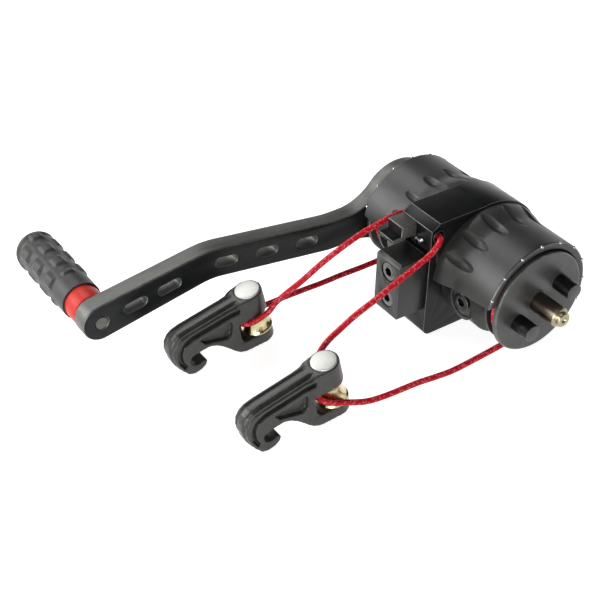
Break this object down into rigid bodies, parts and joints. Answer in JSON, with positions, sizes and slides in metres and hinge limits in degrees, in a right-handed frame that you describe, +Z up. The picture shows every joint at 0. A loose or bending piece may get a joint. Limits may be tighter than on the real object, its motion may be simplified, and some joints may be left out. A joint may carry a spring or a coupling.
{
  "type": "hand crank cocking winch",
  "caption": "Black hand crank winch with a slotted mount, a red cord doubled through two hooks with brass rollers, and a padded grip.",
  "frame": {"origin": "centre of the mounting slot's floor, the top of the lower mount block", "axes": "+Z up, square to the slot floor; +X along the shaft towards its bare end; -Y the side that the cord and hooks lie on"},
  "size_m": [0.1825, 0.2089, 0.061],
  "materials": {
    "body_black": "black anodised, satin",
    "cover_black": "black anodised, satin sheen",
    "housing_grey": "dark bead-blasted",
    "plate_graphite": "graphite satin",
    "arm_charcoal": "charcoal powder coat, satin",
    "bright_steel": "bright plated",
    "dark_steel": "black oxide",
    "shaft_steel": "ground, light oil tint",
    "spring_steel": "drawn wire",
    "pin_steel": "bright, softly brushed",
    "bush_brass": "turned",
    "roller_brass": "polished",
    "bush_plastic": "moulded",
    "hook_plastic": "moulded, fine texture",
    "grip_rubber": "moulded, satin",
    "collar_red": "semi gloss",
    "red_cord": "braided"
  },
  "bodies": {
    "winch_body": {"centre_body": "body_black", "fairleads": "bush_plastic", "upper_jaw": "body_black", "mount_block": "body_black", "block_screws": "bright_steel", "slot_screw": "bright_steel", "near_cover": "cover_black", "far_cover": "cover_black", "near_rim_studs": "bright_steel", "far_rim_studs": "bright_steel", "near_housing": "housing_grey", "far_housing": "housing_grey", "housing_screws": "bright_steel", "shaft_bushes": "bush_brass", "plunger_plug": "dark_steel", "plunger_spring": "spring_steel", "nose_cord": "red_cord", "near_upper_cord": "red_cord", "near_lower_cord": "red_cord", "far_upper_cord": "red_cord", "far_lower_cord": "red_cord"},
    "crank": {"main_shaft": "shaft_steel", "ratchet_wheel": "dark_steel", "near_reel": "body_black", "far_reel": "body_black", "near_winding": "red_cord", "far_winding": "red_cord", "near_drive_plate": "plate_graphite", "far_drive_plate": "plate_graphite", "drive_pegs": "dark_steel", "crank_arm": "arm_charcoal", "retaining_ring": "spring_steel", "grip_axle": "shaft_steel"},
    "grip": {"grip_sleeve": "grip_rubber", "grip_collar": "collar_red", "grip_end_cap": "grip_rubber"},
    "plunger": {"pawl_plunger": "shaft_steel"},
    "near_hook_body": {"near_hook": "hook_plastic", "near_hook_pin": "pin_steel", "near_cord_bend": "red_cord"},
    "far_hook_body": {"far_hook": "hook_plastic", "far_hook_pin": "pin_steel", "far_cord_bend": "red_cord"},
    "near_roller_body": {"near_roller": "roller_brass"},
    "far_roller_body": {"far_roller": "roller_brass"}
  },
  "joints": [
    {"name": "crank_turn", "type": "hinge", "parent": "winch_body", "child": "crank", "pos_m": [0, 0.04115, -0.0148], "axis": [1, 0, 0], "range_deg": [0, 252]},
    {"name": "grip_spin", "type": "hinge", "parent": "crank", "child": "grip", "pos_m": [-0.085, -0.12565, -0.017], "axis": [1, 0, 0], "continuous": true},
    {"name": "pawl_slide", "type": "slide", "parent": "winch_body", "child": "plunger", "axis": [0, 1, 0], "range_m": [0, 0.0027], "deforming": ["plunger_spring"]},
    {"name": "near_hook_pull", "type": "slide", "parent": "winch_body", "child": "near_hook_body", "axis": [0, 1, 0], "range_m": [0, 0.045], "deforming": ["near_upper_cord", "near_lower_cord"]},
    {"name": "far_hook_pull", "type": "slide", "parent": "winch_body", "child": "far_hook_body", "axis": [0, 1, 0], "range_m": [0, 0.045], "deforming": ["far_upper_cord", "far_lower_cord"]},
    {"name": "near_roller_turn", "type": "hinge", "parent": "near_hook_body", "child": "near_roller_body", "pos_m": [0.0295, -0.05965, -0.02816], "axis": [0, -0.225, 0.9744], "range_deg": [0, 350]},
    {"name": "far_roller_turn", "type": "hinge", "parent": "far_hook_body", "child": "far_roller_body", "pos_m": [-0.0295, -0.05965, -0.02816], "axis": [0, -0.225, 0.9744], "range_deg": [-350, 0]}
  ],
  "couplings": [
    {"joint": "near_hook_pull", "follows": "crank_turn", "m_per_rad": 0.0102},
    {"joint": "far_hook_pull", "follows": "crank_turn", "m_per_rad": 0.0102},
    {"joint": "near_roller_turn", "follows": "crank_turn", "ratio": 1.3878},
    {"joint": "far_roller_turn", "follows": "crank_turn", "ratio": -1.3878}
  ]
}
